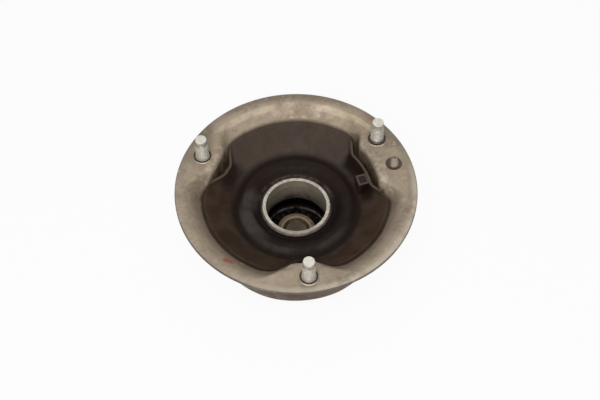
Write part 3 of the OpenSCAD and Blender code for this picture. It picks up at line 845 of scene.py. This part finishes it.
def cup_skins():
    """The pressing as one closed skin, with a seat patch round each stud and round the pin"""
    angle = full_turn(ROUND_STEPS)
    upper = cup_profiles(angle)
    lower = np.array([parallel(p, sheet)[::-2] for p in upper])
    upper, lower = upper.swapaxes(0, 1), lower.swapaxes(0, 1)
    top = ring_rows(upper[..., 0], upper[..., 1], angle)
    for seat_angle, seat_r in [*((a, swage_r) for a in stud_angles), (pin_angle, pin_seat_r)]:
        x, y = on_circle(seat_angle)
        away = np.hypot(top[..., 0] - x, top[..., 1] - y)
        share = np.clip((seat_r + seat_reach - away) / seat_fade, 0, 1)
        top[..., 2] -= seat_sink * share * (top[..., 2] > throat_z)
    edge = np.array([[rim_chamfer - sheet], [-rim_chamfer]])
    under = ring_rows(lower[..., 0], lower[..., 1], angle)
    rows = np.concatenate((top, under, ring_rows(flange_r, edge, angle)))
    seats = [(a, stud_seat) for a in stud_angles] + [(pin_angle, pin_seat)]
    return [(rows, True)] + [(seat_patch(a, outline), False) for a, outline in seats]


def seat_patch(seat_angle, outline):
    """A turned patch of sheet about a stud's axis"""
    bends = [0] + [seat_bend] * (len(outline) - 2) + [0]
    rows = turned(rounded(outline, bends, SEAT_BEND_STEPS), full_turn(SEAT_STEPS)[None, :])
    return rows + np.array((*on_circle(seat_angle), 0))


def rubber_skins():
    """The moulding as one closed skin: dish, groove, raised ring, lip and pockets above, plain below"""
    angle = full_turn(ROUND_STEPS)[None, :]
    dish_of = height_of(rounded(dish_outline, dish_bends, BEND_STEPS))
    outer = np.minimum(lip_r, wall_radius(angle, pocket_z) + pocket_bite)
    share = np.linspace(0, 1, LIP_ROWS)[1:, None]
    fixed = np.arange(sleeve_r, dish_end, dish_step)[:, None] + 0 * angle
    r = np.concatenate((fixed, fixed[-1:] + (outer - fixed[-1:]) * share))
    edge, run = lip_line(angle)
    inside = (edge - r) / np.sqrt(1 + run * run)
    bent = np.clip((lip_r - edge) / lip_fade, 0, 1)
    dish_side = lip_z + rolled(lip_t - inside, dish_roll, dish_steepness)
    dish_side = smooth_max(dish_of(r), dish_side, lip_fillet)
    pocket_side = np.maximum(lip_z + rolled(inside, pocket_roll, pocket_steepness), pocket_z)
    lip = np.where(inside > lip_t / 2, dish_side, pocket_side)
    top = dish_of(r) * (1 - bent) + lip * bent
    gap_z = np.minimum(top[-1:] - lip_drop, throat_z - lip_gap_depth)
    hidden = [(outer - lip_undercut, gap_z), (wall_radius(angle, gap_z) + wall_bite, gap_z - gap_fall)]
    hidden += [(wall_radius(angle, z) + wall_bite, z) for z in wall_levels]
    rows = [ring_rows(r, top, angle)]
    for radius, height in hidden + lower_outline:
        rows.append(ring_rows(radius + 0 * angle, height + 0 * angle, angle))
    return [(np.concatenate(rows), True)]


def moulded_tab(material):
    """The small raised tab inside the lip, with a sunk blank panel"""
    work = bmesh.new()
    bmesh.ops.create_cube(work, size=1)
    size = Matrix.Diagonal((tab_out_r - tab_in_r, tab_w, tab_top - tab_foot, 1))
    centre = Matrix.Translation((tab_middle_r, 0, (tab_top + tab_foot) / 2))
    place = Matrix.Rotation(math.radians(pin_angle), 4, "Z") @ centre @ size
    bmesh.ops.transform(work, matrix=Matrix.Scale(MM, 4) @ place, verts=work.verts)
    work.faces.ensure_lookup_table()
    lid = max(work.faces, key=lambda f: f.calc_center_median().z)
    bmesh.ops.inset_region(work, faces=[lid], thickness=tab_border * MM, use_even_offset=True)
    bmesh.ops.translate(work, vec=(0, 0, -tab_panel_depth * MM), verts=lid.verts)
    edges = list(work.edges)
    bmesh.ops.bevel(work, geom=edges, offset=tab_edge * MM, segments=3, affect="EDGES", profile=0.5)
    mesh = bpy.data.meshes.new("moulded_tab")
    work.to_mesh(mesh)
    work.free()
    return finish_piece("moulded_tab", mesh, "mount", material, 50)


def stud_skin(stud_angle):
    """One stud: press-in head, collar, rolled thread and dog point"""
    around = full_turn(STUD_STEPS)[None, :]
    z = np.arange(thread_start, thread_end, thread_pitch / PITCH_STEPS)[:, None]
    phase = (z / thread_pitch - around / (2 * math.pi)) % 1
    flank = np.clip((np.abs(phase - 0.5) - crest) / flank_w, 0, 1)
    fade = np.clip(np.minimum((z - thread_start + run_lead) / run_in, (thread_end - z) / run_out), 0, 1)
    thread = ring_rows(thread_r - thread_depth * (1 - flank) * fade, z, around)
    bends = [0] + [dog_bend] * (len(above_thread) - 2) + [0]
    point = turned(rounded(above_thread, bends, DOG_BEND_STEPS), around)
    rows = np.concatenate((turned(below_thread, around), thread, point))
    return rows + np.array((*on_circle(stud_angle), 0))


def dress_node(name, material):
    """Gives a CAD node a finished material"""
    mesh = nodes[name].data
    if mesh.materials:
        nodes[name].material_slots[0].material = material
    else:
        mesh.materials.append(material)


def make_camera():
    """A camera fitted to the rim, the studs and the rings of the photograph"""
    elevation, distance, roll = math.radians(55.47), 840.0, math.radians(-0.19)
    image_w, focal_px, sensor = 600, 1316.5, 36.0
    target = Vector((2.51, -9.35, 0))
    data = bpy.data.cameras.new("camera")
    data.sensor_width = sensor
    data.lens = focal_px / image_w * sensor
    data.clip_start, data.clip_end = 0.01, 20
    camera = bpy.data.objects.new("camera", data)
    bpy.context.scene.collection.objects.link(camera)
    ahead = Vector((0, math.cos(elevation), -math.sin(elevation)))
    turn = ahead.to_track_quat("-Z", "Y").to_matrix() @ Matrix.Rotation(roll, 3, "Z")
    camera.matrix_world = Matrix.Translation((target - ahead * distance) * MM) @ turn.to_4x4()
    bpy.context.scene.camera = camera


def area_light(name, place, size, power, towards=(0, 0, 0)):
    """A soft square lamp, placed and aimed in metres"""
    data = bpy.data.lights.new(name, "AREA")
    data.size, data.energy = size, power
    lamp = bpy.data.objects.new(name, data)
    lamp.location = place
    lamp.rotation_mode = "QUATERNION"
    lamp.rotation_quaternion = (Vector(towards) - Vector(place)).to_track_quat("-Z", "Y")
    bpy.context.scene.collection.objects.link(lamp)


def seen_directly(tree):
    """1 for rays from the camera and for mirror and glass rays, which show the plain background"""
    path = tree.nodes.new("ShaderNodeLightPath")
    total = path.outputs["Is Camera Ray"]
    for name in ("Is Glossy Ray", "Is Transmission Ray"):
        either = tree.nodes.new("ShaderNodeMath")
        either.operation = "MAXIMUM"
        tree.links.new(total, either.inputs[0])
        tree.links.new(path.outputs[name], either.inputs[1])
        total = either.outputs[0]
    return total


def floor_material(grey=0.8, glow_share=0.93):
    """A floor that looks white, keeps a soft shadow and lights the part as plain grey"""
    material = bpy.data.materials.new("floor_white")
    material.use_nodes = True
    tree = material.node_tree
    tree.nodes.clear()
    diffuse = tree.nodes.new("ShaderNodeBsdfDiffuse")
    diffuse.inputs["Color"].default_value = (grey, grey, grey, 1)
    glow = tree.nodes.new("ShaderNodeEmission")
    blend = tree.nodes.new("ShaderNodeMixShader")
    keep = tree.nodes.new("ShaderNodeMath")
    keep.operation = "MULTIPLY"
    keep.inputs[1].default_value = glow_share
    tree.links.new(seen_directly(tree), keep.inputs[0])
    tree.links.new(keep.outputs[0], blend.inputs[0])
    tree.links.new(diffuse.outputs[0], blend.inputs[1])
    tree.links.new(glow.outputs[0], blend.inputs[2])
    tree.links.new(blend.outputs[0], tree.nodes.new("ShaderNodeOutputMaterial").inputs[0])
    return material


def make_floor(half=3.0):
    """A wide plain floor under the part, in metres"""
    mesh = bpy.data.meshes.new("floor")
    corners = [(-half, -half), (half, -half), (half, half), (-half, half)]
    mesh.from_pydata([(x, y, floor_z * MM) for x, y in corners], [], [(0, 1, 2, 3)])
    floor = bpy.data.objects.new("floor", mesh)
    bpy.context.scene.collection.objects.link(floor)
    mesh.materials.append(floor_material())


def make_light(world_level=0.24):
    """A white world that lights the part softly, a key lamp in front and a weak lamp overhead"""
    world = bpy.data.worlds.new("studio")
    bpy.context.scene.world = world
    world.use_nodes = True
    tree = world.node_tree
    background = tree.nodes["Background"]
    level = tree.nodes.new("ShaderNodeMapRange")
    level.inputs["To Min"].default_value = world_level
    tree.links.new(seen_directly(tree), level.inputs["Value"])
    tree.links.new(level.outputs["Result"], background.inputs["Strength"])
    background.inputs["Color"].default_value = (1, 1, 1, 1)
    area_light("key", (-0.08, -0.55, 0.9), size=0.5, power=8.2)
    area_light("overhead", (0.1, 0.25, 0.9), size=0.6, power=1.0)


make_camera()
make_floor()
make_light()

plate, rubber, zinc = plate_material(), rubber_material(), zinc_material()
cup = build("pressed_cup", cup_skins(), "mount", plate)
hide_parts("flanged_cup")
moulding = build("moulded_rubber", rubber_skins(), "mount", rubber, 60)
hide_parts("rubber_body")
moulded_tab(rubber)
studs = build("threaded_studs", [(stud_skin(a), False) for a in stud_angles], "mount", zinc)
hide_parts("studs")

dress_node("locating_pin", plate)
dress_node("inner_sleeve", sleeve_material())
bearing_steel = bearing_material()
dress_node("bearing_outer_ring", bearing_steel)
dress_node("bearing_inner_ring", bearing_steel)
dress_node("ball_cage", cage_material())
dress_node("lower_seal", seal_material())
ball_steel = ball_material()
for name in nodes:
    if name.startswith("ball_") and name != "ball_cage":
        dress_node(name, ball_steel)

bpy.context.scene.view_settings.view_transform = "Standard"
